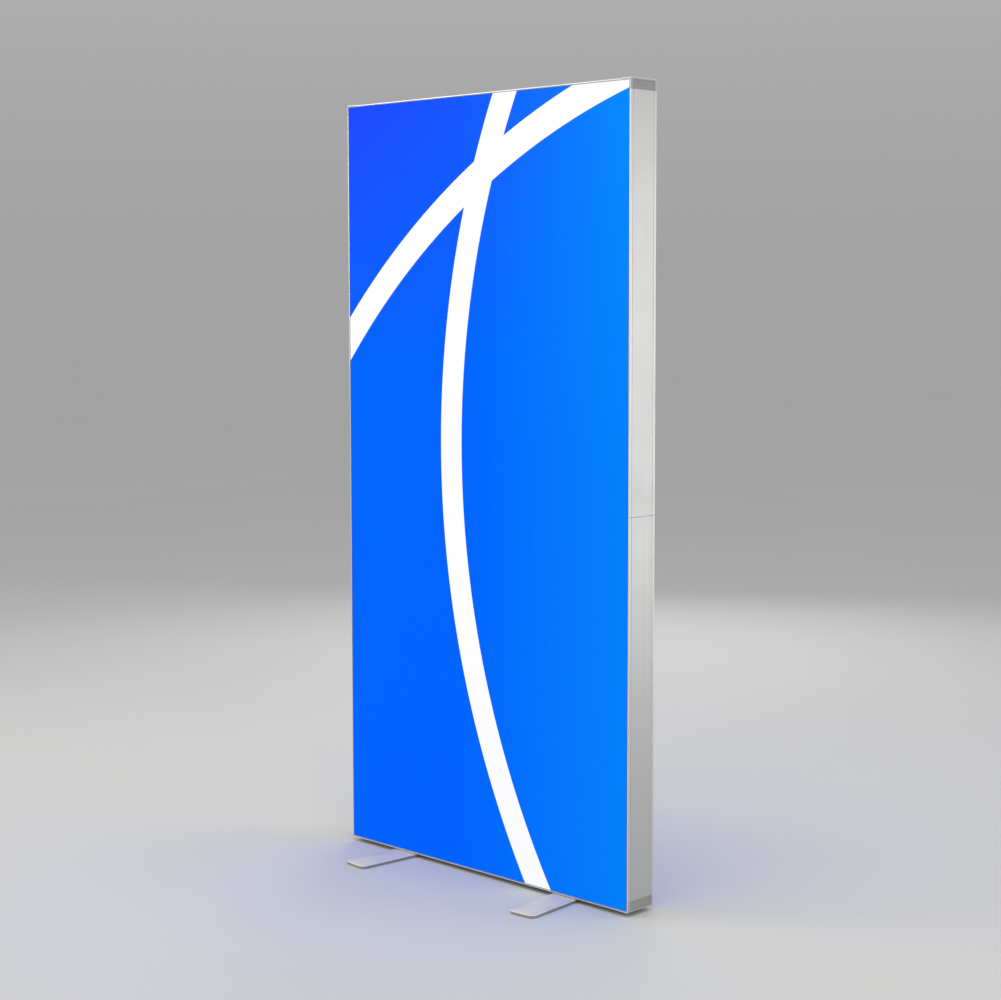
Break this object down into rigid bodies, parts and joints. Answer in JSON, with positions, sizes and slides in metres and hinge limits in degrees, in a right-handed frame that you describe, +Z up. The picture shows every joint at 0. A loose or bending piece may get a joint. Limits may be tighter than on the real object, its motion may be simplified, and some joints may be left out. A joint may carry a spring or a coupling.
{
  "type": "partition wall",
  "caption": "Freestanding knock-down partition: aluminium frame, printed back-lit fabric skin on each face, moulded corner blocks, inner LED rows and swivelling flat feet.",
  "frame": {"origin": "on the floor, under the middle of the frame", "axes": "+Z up, +X along the wall's width with the mains inlet at its low end, -Y out of the front face"},
  "size_m": [1.0042, 0.4406, 2.011],
  "materials": {
    "anodised": "satin silver anodised",
    "moulding": "fine spark-eroded moulding",
    "printed_fabric": "matt dye-printed knit, back-lit",
    "silicone": "matt translucent",
    "plated_steel": "zinc plated",
    "coated_steel": "silver powder coat",
    "led_board": "white solder mask",
    "clear_lens": "clear optical moulding",
    "driver_case": "matt extruded case",
    "black_plastic": "fine moulded black",
    "contact_metal": "bright",
    "lead_sheath": "smooth white sheath",
    "rubber": "matt",
    "nylon": "natural nylon"
  },
  "bodies": {
    "frame": {"bottom_rail": "anodised", "top_rail": "anodised", "left_upright_lower": "anodised", "left_upright_upper": "anodised", "right_upright_lower": "anodised", "right_upright_upper": "anodised", "crossbar": "anodised", "left_bottom_corner_block": "moulding", "left_top_corner_block": "moulding", "right_bottom_corner_block": "moulding", "right_top_corner_block": "moulding", "left_bottom_button_spring": "plated_steel", "left_top_button_spring": "plated_steel", "right_bottom_button_spring": "plated_steel", "right_top_button_spring": "plated_steel", "left_splice": "plated_steel", "right_splice": "plated_steel", "left_crossbar_bracket": "plated_steel", "right_crossbar_bracket": "plated_steel", "front_skin": "printed_fabric", "rear_skin": "printed_fabric", "front_bottom_edge_strip": "silicone", "front_top_edge_strip": "silicone", "front_left_edge_strip": "silicone", "front_right_edge_strip": "silicone", "rear_bottom_edge_strip": "silicone", "rear_top_edge_strip": "silicone", "rear_left_edge_strip": "silicone", "rear_right_edge_strip": "silicone", "bottom_led_board": "led_board", "top_led_board": "led_board", "bottom_led_optics": "clear_lens", "top_led_optics": "clear_lens", "led_driver": "driver_case", "driver_tray": "plated_steel", "inlet_housing": "black_plastic", "inlet_contacts": "contact_metal", "mains_lead": "lead_sheath", "bottom_led_lead": "lead_sheath", "lower_riser_lead": "lead_sheath", "upper_riser_lead": "lead_sheath", "riser_connector": "led_board", "left_foot_screw": "plated_steel", "right_foot_screw": "plated_steel", "left_foot_washer": "nylon", "right_foot_washer": "nylon", "left_foot_nut_plate": "plated_steel", "right_foot_nut_plate": "plated_steel"},
    "left_foot_body": {"left_foot": "coated_steel", "left_foot_front_pad": "rubber", "left_foot_rear_pad": "rubber"},
    "right_foot_body": {"right_foot": "coated_steel", "right_foot_front_pad": "rubber", "right_foot_rear_pad": "rubber"},
    "rocker_body": {"rocker_switch": "black_plastic"},
    "left_bottom_button_body": {"left_bottom_snap_button": "black_plastic"},
    "left_top_button_body": {"left_top_snap_button": "black_plastic"},
    "right_bottom_button_body": {"right_bottom_snap_button": "black_plastic"},
    "right_top_button_body": {"right_top_snap_button": "black_plastic"}
  },
  "joints": [
    {"name": "left_foot_swivel", "type": "hinge", "parent": "frame", "child": "left_foot_body", "pos_m": [-0.286, 0, 0.005], "axis": [0, 0, 1], "continuous": true},
    {"name": "right_foot_swivel", "type": "hinge", "parent": "frame", "child": "right_foot_body", "pos_m": [0.286, 0, 0.005], "axis": [0, 0, -1], "continuous": true},
    {"name": "rocker_tip", "type": "hinge", "parent": "frame", "child": "rocker_body", "pos_m": [-0.497, 0, 0.154], "axis": [0, 0, -1], "range_deg": [0, 16]},
    {"name": "left_bottom_button_press", "type": "slide", "parent": "frame", "child": "left_bottom_button_body", "axis": [-1, 0, 0], "range_m": [0, 0.004], "stiffness_N_per_m": 600, "springref_m": -0.003, "deforming": ["left_bottom_button_spring"]},
    {"name": "left_top_button_press", "type": "slide", "parent": "frame", "child": "left_top_button_body", "axis": [-1, 0, 0], "range_m": [0, 0.004], "stiffness_N_per_m": 600, "springref_m": -0.003, "deforming": ["left_top_button_spring"]},
    {"name": "right_bottom_button_press", "type": "slide", "parent": "frame", "child": "right_bottom_button_body", "axis": [1, 0, 0], "range_m": [0, 0.004], "stiffness_N_per_m": 600, "springref_m": -0.003, "deforming": ["right_bottom_button_spring"]},
    {"name": "right_top_button_press", "type": "slide", "parent": "frame", "child": "right_top_button_body", "axis": [1, 0, 0], "range_m": [0, 0.004], "stiffness_N_per_m": 600, "springref_m": -0.003, "deforming": ["right_top_button_spring"]}
  ]
}
